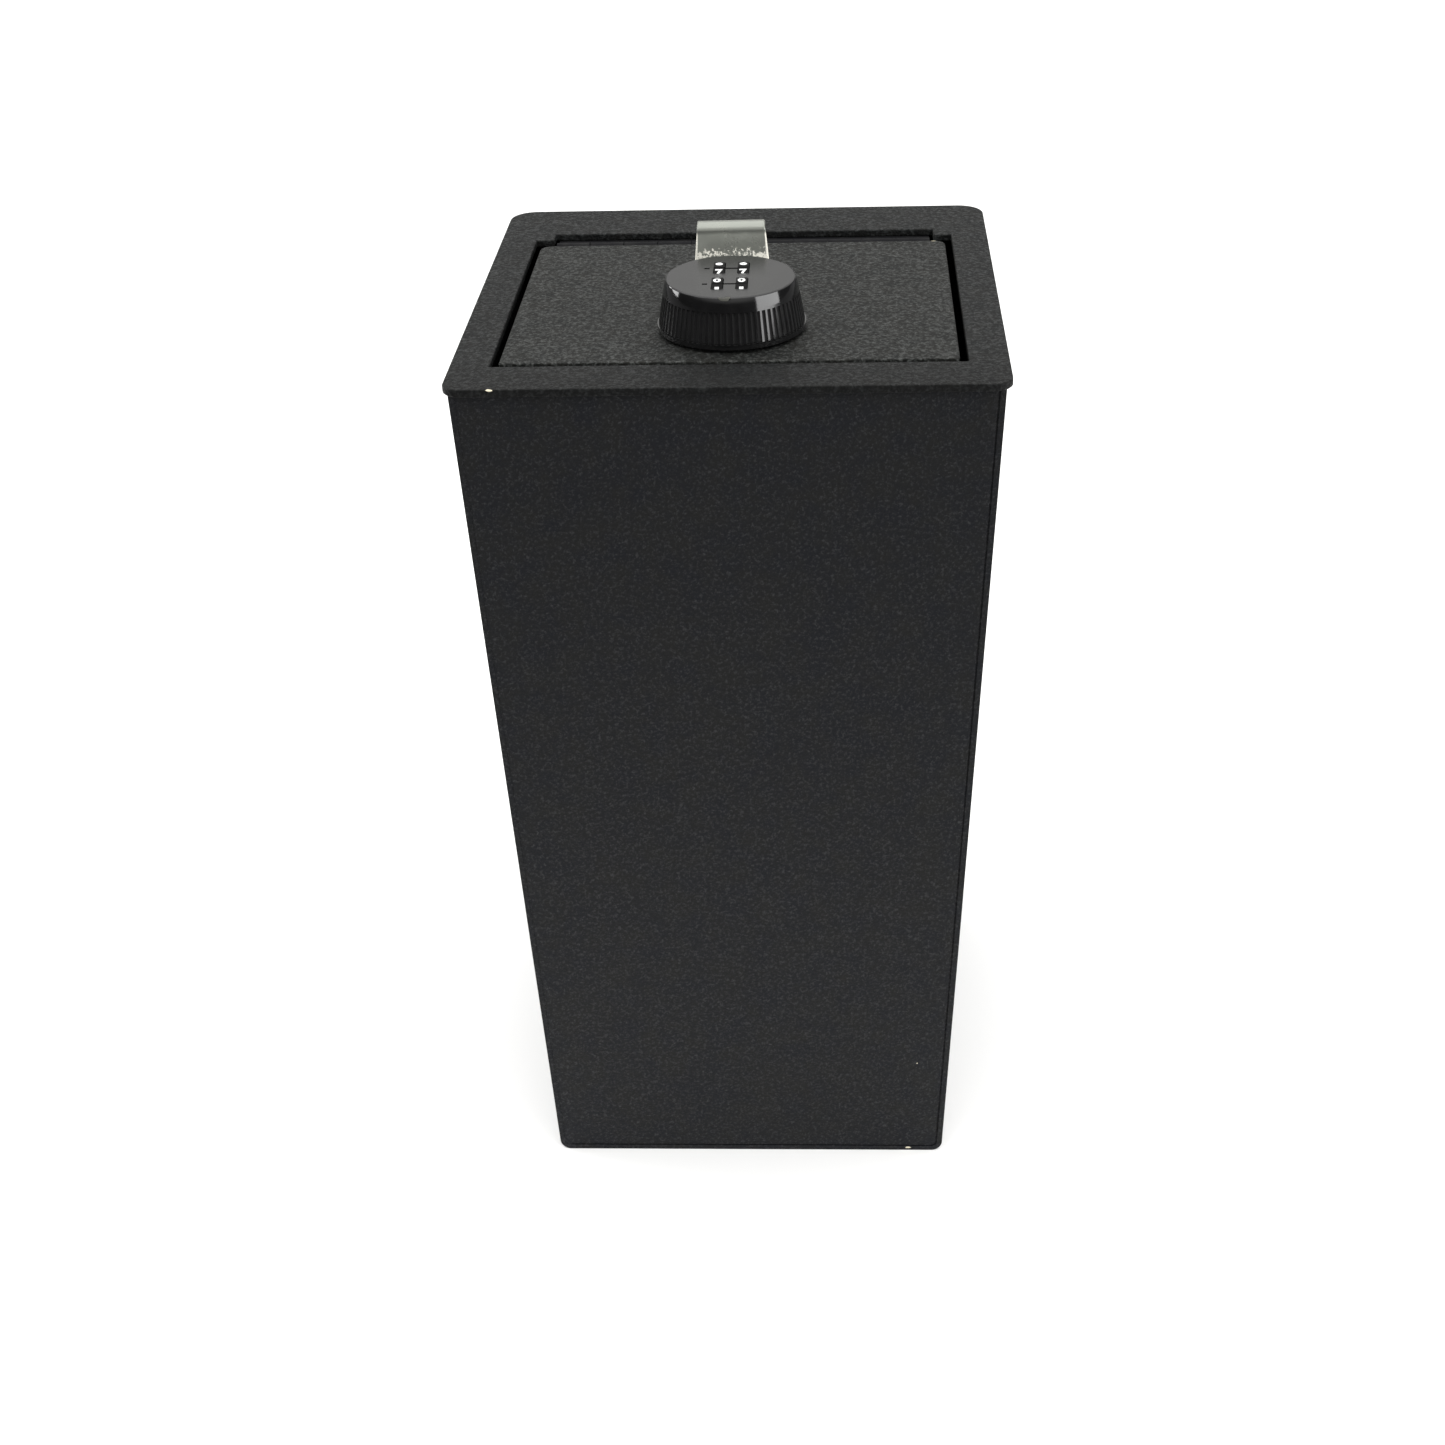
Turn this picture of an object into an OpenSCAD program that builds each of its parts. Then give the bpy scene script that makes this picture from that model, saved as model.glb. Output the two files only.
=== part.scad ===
// Tall drop-in cash box: a sheet-steel case whose sides lean inwards to the foot,
// a flanged top plate, a rear-hinged lid set flush in it, and a cam lock whose
// knob carries four number wheels. Millimetres, +Z up, the middle of the floor
// face at the origin, the front towards -Y.

/* [Case] */
// Height from the floor to the top face of the flange
case_h = 296; // [200:1:400]
// Width of the top flange, side to side
flange_w = 171; // [155:1:230]
// Depth of the top flange, front to back
flange_d = 176; // [165:1:240]
// Radius of the top flange's front corners
flange_front_r = 6; // [3:0.5:6.5]
// Radius of the top flange's rear corners
flange_rear_r = 9; // [3:0.5:9]
// Overhang of the flange beyond the case's front and sides
flange_lip = 2; // [1:0.5:6]
// Overhang of the flange beyond the case's rear
rear_lip = 4; // [1:0.5:8]
// Thickness of the flange and lid plates
plate_t = 2.5; // [2:0.1:3.5]
// Thickness of the case sheet
sheet_t = 1.9; // [1.2:0.1:3]
// How far each side leans in between the flange and the floor
side_lean = 14.3; // [0:0.1:20]
// Outer bend radius where the sides turn into the floor
bend_r = 4; // [3.5:0.5:8]
// Width of the seam groove round the front panel
seam_w = 0.5; // [0.3:0.05:1]
// Depth of the seam groove
seam_depth = 0.4; // [0.2:0.05:0.8]

/* [Floor anchor holes] */
// Hole spacing from side to side
anchor_x = 80; // [40:1:100]
// Hole spacing from front to back
anchor_y = 110; // [60:1:130]
// Hole diameter
anchor_d = 8.5; // [5:0.5:11]

/* [Opening and lid] */
// Width of the flange strip at each side of the opening
side_strip = 12.5; // [9:0.5:16]
// Width of the flange strip in front of the opening
front_strip = 19; // [15:0.5:22]
// Width of the flange strip behind the opening
rear_strip = 34; // [30:0.5:38]
// Gap round the front and sides of the lid
lid_gap = 2.5; // [1:0.1:4]
// Corner radius at the rear of the lid
lid_rear_r = 4; // [2:0.5:8]
// Corner radius at the front of the lid
lid_front_r = 1; // [0.5:0.5:3]
// How far the hinge notch cuts behind the opening
notch_d = 6.4; // [4:0.1:9]
// Distance from each side of the opening to the hinge notch
notch_inset = 6.25; // [4:0.25:12]
// How far the front ledge reaches under the lid
ledge_reach = 4; // [2:0.5:8]
// How far the front ledge reaches under the flange
ledge_grip = 6; // [4:0.5:8]
// Play between the closed lid and the ledge
ledge_play = 0.25; // [0.2:0.05:0.5]

/* [Hinge] */
// Radius of the hinge knuckles
barrel_r = 2.4; // [2.2:0.1:2.8]
// Radius of the hinge pin
pin_r = 1.2; // [0.8:0.1:1.4]
// Radial running clearance of the pin
pin_play = 0.05; // [0.02:0.01:0.1]
// Thickness of the hinge leaves
leaf_t = 1.2; // [0.8:0.1:1.6]
// Width of the leaf under the lid
lid_leaf_w = 14; // [10:1:18]
// Width of the leaf under the flange
case_leaf_w = 24; // [18:1:26]
// Number of knuckles, odd so that both ends are fixed
knuckle_count = 11; // [7:2:15]
// Gap between neighbouring knuckles
knuckle_gap = 0.4; // [0.3:0.05:0.8]
// Gap between each hinge end and the notch
hinge_end_gap = 1.25; // [0.5:0.25:3]
// Gap between the lid's rear edge and the knuckles
barrel_gap = 0.5; // [0.4:0.1:1]
// How far the barrel is set down past the undersides of the leaves
barrel_drop = 1.1; // [0:0.1:1.2]
// Gap between the knuckles and the rear edge of the opening
barrel_back_gap = 1.3; // [1:0.1:4]

/* [Pull tab] */
// Strip thickness
tab_t = 1.2; // [0.8:0.1:1.6]
// Gap between the lock's base flange and the bend at the tab's foot
tab_clear = 2.3; // [1:0.1:6]
// Height of the tab above the lid
tab_h = 25; // [22:0.5:32]
// Width of the foot
tab_foot_w = 25.8; // [24:0.2:32]
// Width at the top
tab_top_w = 21.7; // [18:0.1:26]
// Inside radius of the bend at the foot
tab_bend_r = 2; // [1:0.5:3]
// Outside radius of the curl at the top
tab_curl_r = 3; // [2.5:0.5:5]
// Length of the straight lip behind the curl
tab_lip = 3; // [1:0.5:6]

/* [Lock body] */
// Distance from the lid's front edge to the base flange under the knob
lock_inset = 5.7; // [3:0.1:10]
// How far the base flange stands out past the knob's foot
base_rim = 0.4; // [0.1:0.1:1.5]
// Thickness of the base flange
base_t = 1.4; // [1:0.1:2]
// Radius of the threaded barrel
barrel_od_r = 9.4; // [9:0.1:10]
// Depth of the flat on each side of the barrel
flat_depth = 1.4; // [0.5:0.1:2.5]
// Length of barrel that shows below the nut
barrel_tail = 2.5; // [1:0.1:6]
// Clearance of the lid hole round the barrel
hole_play = 0.1; // [0.05:0.05:0.3]
// Thickness of the washer under the lid
washer_t = 1; // [0.6:0.1:1.5]
// How far the washer under the lid reaches past the barrel
washer_rim = 4.1; // [2.5:0.1:6]
// Thickness of the nut's wall at its flats
nut_wall = 2.6; // [1.5:0.1:4]
// Thickness of the nut
nut_t = 5; // [4:0.5:6]

/* [Cam] */
// How far the locked cam reaches past the lid's front edge
cam_bite = 8.8; // [5:0.1:12]
// Width of the cam arm
cam_w = 15; // [12:0.5:18]
// Radius of the cam hub
cam_hub_r = 9.5; // [8:0.5:11]
// Thickness of the cam
cam_t = 2.5; // [2:0.1:3]
// Gap between the raised cam tip and the ledge
cam_play = 0.45; // [0.3:0.05:1]
// Width of the square drive
drive_w = 6; // [5:0.5:6.5]
// Radius of the spindle
spindle_r = 4; // [3.6:0.1:4.6]
// Radial running clearance of the spindle
spindle_play = 0.05; // [0.02:0.01:0.1]

/* [Knob] */
// Room between the number wheels and the knob's inside wall, front and rear
knob_room = 4; // [2.5:0.1:8]
// Thickness of the knob's wall at its face
knob_wall = 2.2; // [1.5:0.1:4]
// How much wider the knob's foot is than its face, in radius
knob_flare = 2.5; // [0.5:0.1:5]
// Gap between the knob and the base flange
knob_gap = 0.2; // [0.2:0.05:0.4]
// Height of the smooth band above the flutes
band_h = 4.7; // [2:0.1:8]
// Number of flutes
flute_count = 72; // [36:1:80]
// Radius of each flute
flute_r = 0.62; // [0.4:0.02:0.7]
// Radius of the crowned top of the band
crown_r = 25; // [15:1:30]
// How far the crown turns inwards before the rim, in degrees
crown_turn = 8; // [4:0.5:9]
// Rounding of the rim
rim_r = 0.6; // [0.3:0.1:1]
// Thickness of the face
face_t = 2; // [1.6:0.1:2.6]
// Depth of the marks in the face
mark_depth = 0.25; // [0.1:0.05:0.5]
// Width of the marks in the face
mark_w = 0.5; // [0.3:0.1:0.8]
// Width of the pointer notch in the front rim
pointer_w = 1.6; // [1:0.1:2.5]
// Depth of the pointer notch
pointer_depth = 0.65; // [0.3:0.05:1]

/* [Number wheels] */
// Radius of the wheels
wheel_r = 7; // [5.5:0.1:8.5]
// Width of the wheels
wheel_w = 3.4; // [2.5:0.1:5]
// Gap between the left and right wheels
pair_gap = 4.2; // [3:0.1:6]
// Gap between the front and rear wheels
row_gap = 0.8; // [0.7:0.1:3]
// How far the wheels stand out of the face
wheel_proud = 1.6; // [1:0.1:2.5]
// Gap between the wheels and the carrier disc below them
wheel_drop = 0.4; // [0.2:0.1:1]
// Axle radius
axle_r = 1; // [0.8:0.1:1.4]
// Radial running clearance of the wheels on the axles
axle_play = 0.05; // [0.02:0.01:0.1]
// Gap between a wheel and its window, along the axle
window_gap_x = 0.2; // [0.15:0.05:0.5]
// Gap between a wheel's rim and its curved slot
window_gap_r = 0.3; // [0.25:0.05:0.5]
// Thickness of the outer cheeks that hold the axles
cheek_t = 2.5; // [1.5:0.1:3]
// Turn of the rear wheels at rest, towards the front
rear_turn = 4; // [-18:1:18]
// Turn of the front wheels at rest, towards the front
front_turn = 6; // [-18:1:18]

/* [Hidden] */
$fn = 96;
eps = 0.01;

// Case
wall_top = case_h - plate_t;
case_w = flange_w - 2 * flange_lip;
case_front = flange_lip - flange_d / 2;
case_d = flange_d - flange_lip - rear_lip;
lean = atan(side_lean / wall_top);
floor_half = case_w / 2 - side_lean;
bend_x = floor_half - bend_r * (1 - sin(lean)) / cos(lean);

// Opening and lid, in plan
opening_w = flange_w - 2 * side_strip;
opening_front = front_strip - flange_d / 2;
opening_rear = flange_d / 2 - rear_strip;
notch_w = opening_w - 2 * notch_inset;
lid_w = opening_w - 2 * lid_gap;
lid_front = opening_front + lid_gap;
lid_rear = opening_rear - barrel_back_gap - 2 * barrel_r - barrel_gap;

// Hinge
hinge_y = lid_rear + barrel_gap + barrel_r;
hinge_z = wall_top - leaf_t + barrel_r - barrel_drop;
hinge_w = notch_w - 2 * hinge_end_gap;
knuckle_pitch = hinge_w / knuckle_count;
leaf_start = barrel_r + barrel_gap;

// Knob, sized round its wheels
carrier_t = 1.2;
carrier_lift = 0.1;
wheel_x = (wheel_w + pair_gap) / 2;
wheel_y = wheel_r + row_gap / 2;
window_w = wheel_w + 2 * window_gap_x;
cheek_x = wheel_x + window_w / 2;
axle_depth = wheel_r - wheel_proud;
hollow_r = wheel_y + wheel_r + knob_room;
knob_face_r = hollow_r + knob_wall;
knob_foot_r = knob_face_r + knob_flare;
knob_h = carrier_lift + carrier_t + wheel_drop + wheel_r + axle_depth;
flute_h = knob_h - band_h;
skirt_lean = atan(knob_flare / knob_h);

// Lock, stacked on the lid
base_r = knob_foot_r + base_rim;
lock_y = lid_front + lock_inset + base_r;
tab_stand = base_r + tab_clear + tab_bend_r;
base_z = case_h + tab_t;
knob_z = base_z + base_t + knob_gap;
axle_z = knob_z + knob_h - axle_depth;
barrel_len = tab_t + plate_t + washer_t + nut_t + barrel_tail;
barrel_end_z = base_z - barrel_len;
nut_corner_r = 2 * (barrel_od_r + nut_wall) / sqrt(3);

// Cam
cam_len = lock_inset + base_r + cam_bite;
cam_z = barrel_end_z - spindle_play - cam_t;
cam_rise = wall_top - sheet_t - cam_play - cam_t - cam_z;
crank_shift = cam_t * tan(22.5);
crank_start = nut_corner_r + 1.2;
screw_head_r = 4.2;
screw_head_h = 2.6;
screw_r = 2;
screw_len = 6;

// --- shared shapes -------------------------------------------------------

module rounded_rect(w, d, r) {
    square([w - 2 * r, d], center = true);
    square([w, d - 2 * r], center = true);
    for (x = [-1, 1], y = [-1, 1])
        translate([x * (w / 2 - r), y * (d / 2 - r)]) circle(r);
}

// Outline of the case seen from the front, drawn inwards by inset, up to height top.
module case_outline(inset, top) {
    r = bend_r - inset;
    side_top = floor_half + top * tan(lean) - inset / cos(lean);
    tangent = [bend_x + r * cos(lean), bend_r - r * sin(lean)];
    polygon([
        [-bend_x, inset], [bend_x, inset], tangent, [side_top, top],
        [-side_top, top], [-tangent[0], tangent[1]]
    ]);
    for (s = [-1, 1]) translate([s * bend_x, bend_r]) circle(r);
}

// Stands a front-view outline up and gives it depth, from y to y + depth.
module front_extrude(y, depth) {
    translate([0, y + depth, 0]) rotate([90, 0, 0]) linear_extrude(depth) children();
}

// Stands a side-view outline (drawn as y, z) up and gives it width about x = 0.
module side_extrude(width) {
    rotate([90, 0, 90]) linear_extrude(width, center = true) children();
}

module ring_2d(outer, inner) {
    difference() {
        circle(outer);
        circle(inner);
    }
}

module x_cylinder(r, length) {
    rotate([0, 90, 0]) cylinder(r = r, h = length, center = true);
}

// Outline of the lock barrel: a circle with a flat on each side.
module barrel_2d(play = 0) {
    intersection() {
        circle(barrel_od_r + play);
        square([2 * (barrel_od_r - flat_depth + play), 3 * barrel_od_r], center = true);
    }
}

// --- case ----------------------------------------------------------------

module body_wrap() {
    color("#26282a")
    difference() {
        front_extrude(case_front, case_d)
            difference() {
                case_outline(0, wall_top);
                case_outline(sheet_t, wall_top + 1);
            }
        for (x = [-1, 1], y = [-1, 1])
            translate([x * anchor_x / 2, y * anchor_y / 2, -1])
                cylinder(d = anchor_d, h = sheet_t + 2);
    }
}

module panel_blank(y) {
    front_extrude(y, sheet_t) case_outline(sheet_t, wall_top);
}

module front_panel() {
    color("#2a2c2e")
    difference() {
        panel_blank(case_front);
        front_extrude(case_front - eps, seam_depth + eps)
            difference() {
                translate([-bend_x, 0]) square([case_w, wall_top + 1]);
                case_outline(sheet_t + seam_w, wall_top + 2);
            }
    }
}

module rear_panel() {
    color("#2a2c2e") panel_blank(case_front + case_d - sheet_t);
}

module opening_2d() {
    translate([-opening_w / 2, opening_front])
        square([opening_w, opening_rear - opening_front]);
    translate([-notch_w / 2, opening_rear - eps])
        square([notch_w, notch_d + eps]);
}

module flange_2d() {
    intersection() {
        rounded_rect(flange_w, flange_d, flange_front_r);
        translate([0, -flange_rear_r])
            rounded_rect(flange_w, flange_d + 2 * flange_rear_r, flange_rear_r);
    }
}

module top_flange() {
    color("#2e3032")
    translate([0, 0, wall_top]) linear_extrude(plate_t)
        difference() {
            flange_2d();
            opening_2d();
        }
}

// Bar welded under the front strip; the closed lid lies just above its rear part.
module lid_ledge() {
    color("#2a2c2e")
    side_extrude(notch_w)
        polygon([
            [opening_front - ledge_grip, wall_top],
            [opening_front - ledge_grip, wall_top - sheet_t],
            [lid_front + ledge_reach, wall_top - sheet_t],
            [lid_front + ledge_reach, wall_top - ledge_play],
            [opening_front, wall_top - ledge_play],
            [opening_front, wall_top]
        ]);
}

// --- hinge ---------------------------------------------------------------

// Knuckles from index first, every second one, each with the tongue that rolls
// out of the leaf; side is +1 for a leaf behind the pin and -1 for one in front.
module knuckle_row(first, side) {
    length = knuckle_pitch - knuckle_gap;
    for (i = [first : 2 : knuckle_count - 1])
        translate([(i + 0.5) * knuckle_pitch - hinge_w / 2, hinge_y, hinge_z]) {
            x_cylinder(barrel_r, length);
            translate([-length / 2, side > 0 ? 0 : -leaf_start - eps, barrel_drop - barrel_r])
                cube([length, leaf_start + eps, leaf_t]);
        }
}

module hinge_leaf(first, side, width) {
    near = hinge_y + side * leaf_start;
    difference() {
        union() {
            knuckle_row(first, side);
            translate([-hinge_w / 2, side > 0 ? near : near - width, wall_top - leaf_t])
                cube([hinge_w, width, leaf_t]);
        }
        translate([0, hinge_y, hinge_z]) x_cylinder(pin_r + pin_play, hinge_w + 2);
    }
}

module hinge_leaf_case() {
    color("#1f2123") hinge_leaf(0, 1, case_leaf_w);
}

module hinge_leaf_lid() {
    color("#1f2123") hinge_leaf(1, -1, lid_leaf_w);
}

module hinge_pin() {
    color("#1f2123") translate([0, hinge_y, hinge_z]) x_cylinder(pin_r, hinge_w);
}

// --- lid -----------------------------------------------------------------

// Plan of the lid: larger rounds at the hinge side than at the front.
module lid_2d() {
    middle = (lid_front + lid_rear) / 2;
    intersection() {
        translate([0, middle]) rounded_rect(lid_w, lid_rear - lid_front, lid_front_r);
        translate([0, middle - lid_rear_r])
            rounded_rect(lid_w, lid_rear - lid_front + 2 * lid_rear_r, lid_rear_r);
    }
}

module lid_plate() {
    color("#2e3032")
    translate([0, 0, wall_top]) linear_extrude(plate_t)
        difference() {
            lid_2d();
            translate([0, lock_y]) barrel_2d(hole_play);
        }
}

// --- pull tab ------------------------------------------------------------

// Curl and straight lip about the curl's centre, starting straight up on the left.
module tab_curl_2d() {
    curl_turn = 30;
    inner_r = tab_curl_r - tab_t;
    difference() {
        union() {
            circle(tab_curl_r);
            rotate(-curl_turn) square([tab_lip, tab_curl_r]);
        }
        circle(inner_r);
        rotate(-curl_turn)
            translate([0, -2 * tab_curl_r]) square([tab_lip + 1, 2 * tab_curl_r + inner_r]);
        translate([-2 * tab_curl_r, -2 * tab_curl_r]) square(2 * tab_curl_r);
    }
}

// Side view of the strip: foot, bend, upright and curl, in (y, z).
module tab_side_2d() {
    curl_z = tab_h - tab_curl_r;
    bend_c = [tab_stand - tab_bend_r, tab_t + tab_bend_r];
    translate([-tab_foot_w / 2, 0]) square([bend_c[0] + tab_foot_w / 2, tab_t]);
    intersection() {
        translate(bend_c) ring_2d(tab_bend_r + tab_t, tab_bend_r);
        translate([bend_c[0], 0]) square([2 * tab_bend_r + tab_t, bend_c[1]]);
    }
    translate([tab_stand, bend_c[1]]) square([tab_t, curl_z - bend_c[1]]);
    translate([tab_stand + tab_curl_r, curl_z]) tab_curl_2d();
}

// Plan of the foot: a strip with a round end in front of the lock.
module tab_plan_2d() {
    circle(tab_foot_w / 2);
    translate([-tab_foot_w / 2, 0]) square([tab_foot_w, 3 * tab_stand]);
}

// The strip narrows from the top of its foot bend to the curl.
module pull_tab() {
    taper_z = tab_t + tab_bend_r;
    color("#c4c7c9")
    translate([0, lock_y, case_h])
        difference() {
            intersection() {
                side_extrude(2 * tab_foot_w) tab_side_2d();
                linear_extrude(2 * tab_h) tab_plan_2d();
                front_extrude(-2 * tab_stand, 4 * tab_stand)
                    polygon([
                        [-tab_foot_w, -1], [tab_foot_w, -1], [tab_foot_w, taper_z],
                        [tab_foot_w / 2, taper_z], [tab_top_w / 2, tab_h], [tab_top_w / 2, 2 * tab_h],
                        [-tab_top_w / 2, 2 * tab_h], [-tab_top_w / 2, tab_h],
                        [-tab_foot_w / 2, taper_z], [-tab_foot_w, taper_z]
                    ]);
            }
            translate([0, 0, -1]) linear_extrude(tab_t + 2) barrel_2d(hole_play);
        }
}

// --- lock body -----------------------------------------------------------

module lock_base() {
    color("#101112")
    translate([0, lock_y, base_z])
        difference() {
            union() {
                cylinder(r = base_r, h = base_t);
                translate([0, 0, -barrel_len]) linear_extrude(barrel_len + eps) barrel_2d();
            }
            translate([0, 0, -barrel_len - 1])
                cylinder(r = spindle_r + spindle_play, h = barrel_len + base_t + 2);
        }
}

module lock_washer() {
    color("#a5a8aa")
    translate([0, lock_y, wall_top - washer_t])
        linear_extrude(washer_t)
            difference() {
                circle(barrel_od_r + washer_rim);
                circle(barrel_od_r + hole_play);
            }
}

module lock_nut() {
    color("#9a9da0")
    translate([0, lock_y, wall_top - washer_t - nut_t])
        difference() {
            cylinder(r = nut_corner_r, h = nut_t, $fn = 6);
            translate([0, 0, -1]) cylinder(r = barrel_od_r + spindle_play, h = nut_t + 2);
        }
}

// --- cam -----------------------------------------------------------------

// The cam points to the right when unlocked and is cranked up beyond the nut.
module lock_cam() {
    color("#a0a3a5")
    translate([0, lock_y, cam_z])
        difference() {
            intersection() {
                front_extrude(-cam_len, 2 * cam_len)
                    polygon([
                        [-2 * cam_hub_r, 0], [crank_start + crank_shift, 0],
                        [crank_start + crank_shift + cam_rise, cam_rise],
                        [2 * cam_len, cam_rise], [2 * cam_len, cam_rise + cam_t],
                        [crank_start + cam_rise, cam_rise + cam_t], [crank_start, cam_t],
                        [-2 * cam_hub_r, cam_t]
                    ]);
                linear_extrude(3 * cam_len)
                    union() {
                        circle(cam_hub_r);
                        translate([0, -cam_w / 2]) square([cam_len - cam_w / 2, cam_w]);
                        translate([cam_len - cam_w / 2, 0]) circle(cam_w / 2);
                    }
            }
            translate([0, 0, cam_t / 2]) cube([drive_w, drive_w, 2 * cam_t], center = true);
        }
}

module lock_spindle() {
    top = knob_z + carrier_lift + carrier_t;
    color("#8f9294")
    difference() {
        translate([0, lock_y, 0])
            union() {
                translate([0, 0, cam_z + cam_t])
                    cylinder(r = spindle_r, h = top - cam_z - cam_t);
                translate([-drive_w / 2, -drive_w / 2, cam_z])
                    cube([drive_w, drive_w, cam_t + eps]);
            }
        translate([0, lock_y, cam_z - 1]) cylinder(r = screw_r, h = screw_len + 1);
    }
}

module cam_washer() {
    color("#b0b3b5")
    translate([0, lock_y, cam_z - washer_t])
        linear_extrude(washer_t) ring_2d(screw_head_r + 1.3, screw_r + 0.1);
}

module cam_screw() {
    slot_w = 1.1;
    head_z = cam_z - washer_t - screw_head_h;
    color("#b8bbbd")
    translate([0, lock_y, 0])
        difference() {
            union() {
                translate([0, 0, head_z]) cylinder(r = screw_head_r, h = screw_head_h);
                translate([0, 0, cam_z - washer_t - eps])
                    cylinder(r = screw_r, h = washer_t + screw_len);
            }
            for (a = [0, 90])
                rotate(a)
                    translate([-screw_head_r * 0.6, -slot_w / 2, head_z - 1])
                        cube([screw_head_r * 1.2, slot_w, 2.4]);
        }
}

// --- knob ----------------------------------------------------------------

// Half section: straight skirt, crowned band and a small round at the rim.
module knob_profile_2d() {
    rim_turn = skirt_lean + crown_turn;
    skirt_out = [cos(skirt_lean), sin(skirt_lean)];
    rim_out = [cos(rim_turn), sin(rim_turn)];
    crown_z = knob_h - rim_r * (1 - rim_out[1]) - crown_r * (rim_out[1] - skirt_out[1]);
    crown_start = [knob_foot_r - crown_z * tan(skirt_lean), crown_z];
    crown_c = crown_start - crown_r * skirt_out;
    crown_end = crown_c + crown_r * rim_out;
    rim_c = crown_end - rim_r * rim_out;
    polygon([
        [0, 0], [knob_foot_r, 0], crown_start, crown_end, [rim_c[0], knob_h], [0, knob_h]
    ]);
    intersection() {
        translate(crown_c) circle(crown_r);
        polygon([
            [0, crown_start[1] - 1], crown_start, crown_start + skirt_out,
            crown_end + rim_out, crown_end, [0, crown_end[1]]
        ]);
    }
    intersection() {
        translate(rim_c) circle(rim_r);
        square([knob_foot_r, knob_h]);
    }
}

module flutes() {
    length = flute_h / cos(skirt_lean);
    for (i = [0 : flute_count - 1])
        rotate(i * 360 / flute_count)
            translate([knob_foot_r, 0, 0])
                rotate([0, -skirt_lean, 0])
                    translate([0, 0, -1])
                        cylinder(r = flute_r, h = length + 1, $fn = 24);
}

// Each wheel's place in the knob: rear pair first, left before right.
wheel_places = [for (row = [1, -1], side = [-1, 1]) [side * wheel_x, row * wheel_y]];

// Slots curved round the wheels, so that only a narrow gap shows at the face.
module windows() {
    for (p = wheel_places)
        translate([p[0], p[1], knob_h - axle_depth])
            x_cylinder(wheel_r + window_gap_r, window_w);
}

// Reading marks in line with the axles, and a pointer notch in the front rim.
module face_marks() {
    inner = 2 * wheel_x - window_w + 2 * eps;
    outer_mark = 1.6;
    mark_gap = 1.25;
    mark_x = -(cheek_x + mark_gap + outer_mark / 2);
    for (row = [-1, 1])
        translate([0, row * wheel_y, knob_h]) {
            cube([inner, mark_w, 2 * mark_depth], center = true);
            translate([mark_x, 0, 0]) cube([outer_mark, mark_w, 2 * mark_depth], center = true);
        }
    translate([-pointer_w / 2, -knob_face_r - 1, knob_h - pointer_depth])
        cube([pointer_w, 1 + 2 * pointer_depth, 1]);
}

module knob_shell() {
    color("#141516")
    translate([0, lock_y, knob_z])
        difference() {
            rotate_extrude() knob_profile_2d();
            translate([0, 0, -1]) cylinder(r = hollow_r, h = knob_h - face_t + 1);
            windows();
            face_marks();
            flutes();
        }
}

// Disc inside the knob with three cheeks that hold the two wheel axles.
module dial_carrier() {
    cheek_h = knob_h - face_t - carrier_lift - carrier_t - 0.05;
    cheek_d = 2 * (wheel_y + 3 * axle_r);
    middle_w = 2 * wheel_x - window_w;
    color("#2b2d2f")
    translate([0, lock_y, knob_z + carrier_lift])
        difference() {
            union() {
                cylinder(r = hollow_r - 0.05, h = carrier_t);
                translate([-middle_w / 2, -cheek_d / 2, carrier_t - eps])
                    cube([middle_w, cheek_d, cheek_h]);
                for (s = [-1, 1])
                    translate([s > 0 ? cheek_x : -cheek_x - cheek_t, -cheek_d / 2, carrier_t - eps])
                        cube([cheek_t, cheek_d, cheek_h]);
            }
            translate([0, 0, -1]) cylinder(r = spindle_r + eps, h = carrier_t + 2);
            for (row = [-1, 1])
                translate([0, row * wheel_y, axle_z - knob_z - carrier_lift])
                    x_cylinder(axle_r + eps, 4 * cheek_x);
        }
}

module axle(row) {
    color("#9fa2a4")
    translate([0, lock_y + row * wheel_y, axle_z])
        x_cylinder(axle_r, 2 * (cheek_x + cheek_t));
}

module axle_rear() {
    axle(1);
}

module axle_front() {
    axle(-1);
}

// Wheel with ten shallow thumb grooves, one between each pair of numbers.
module dial_wheel(i) {
    groove_r = 0.5;
    turn = wheel_places[i][1] > 0 ? rear_turn : front_turn;
    color("#0d0e0f")
    translate([wheel_places[i][0], lock_y + wheel_places[i][1], axle_z])
        difference() {
            x_cylinder(wheel_r, wheel_w);
            x_cylinder(axle_r + axle_play, wheel_w + 2);
            for (k = [0 : 9])
                rotate([k * 36 + 18 + turn, 0, 0])
                    translate([0, 0, wheel_r + groove_r / 2])
                        x_cylinder(groove_r, wheel_w + 2, $fn = 24);
        }
}

body_wrap();
front_panel();
rear_panel();
top_flange();
lid_ledge();
hinge_leaf_case();
hinge_pin();
lid_plate();
hinge_leaf_lid();
pull_tab();
lock_base();
lock_washer();
lock_nut();
knob_shell();
dial_carrier();
axle_rear();
axle_front();
lock_spindle();
lock_cam();
cam_washer();
cam_screw();
dial_wheel(0);  // dial_wheel_1
dial_wheel(1);  // dial_wheel_2
dial_wheel(2);  // dial_wheel_3
dial_wheel(3);  // dial_wheel_4
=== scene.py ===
"""Looks of a tall black cash box with a leaning case, a hinged lid and a dial lock.

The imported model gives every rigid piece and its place.  This script dresses those
pieces, rounds the edges of the sheets, rebuilds the pull tab with a rounded section,
and adds the figures on the wheels and the lines and the pointer mark on the dial.
"""

import logging
import math
from dataclasses import dataclass, field
from enum import Enum

import bmesh
import bpy
from mathutils import Matrix, Vector
from mathutils.bvhtree import BVHTree

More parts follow.
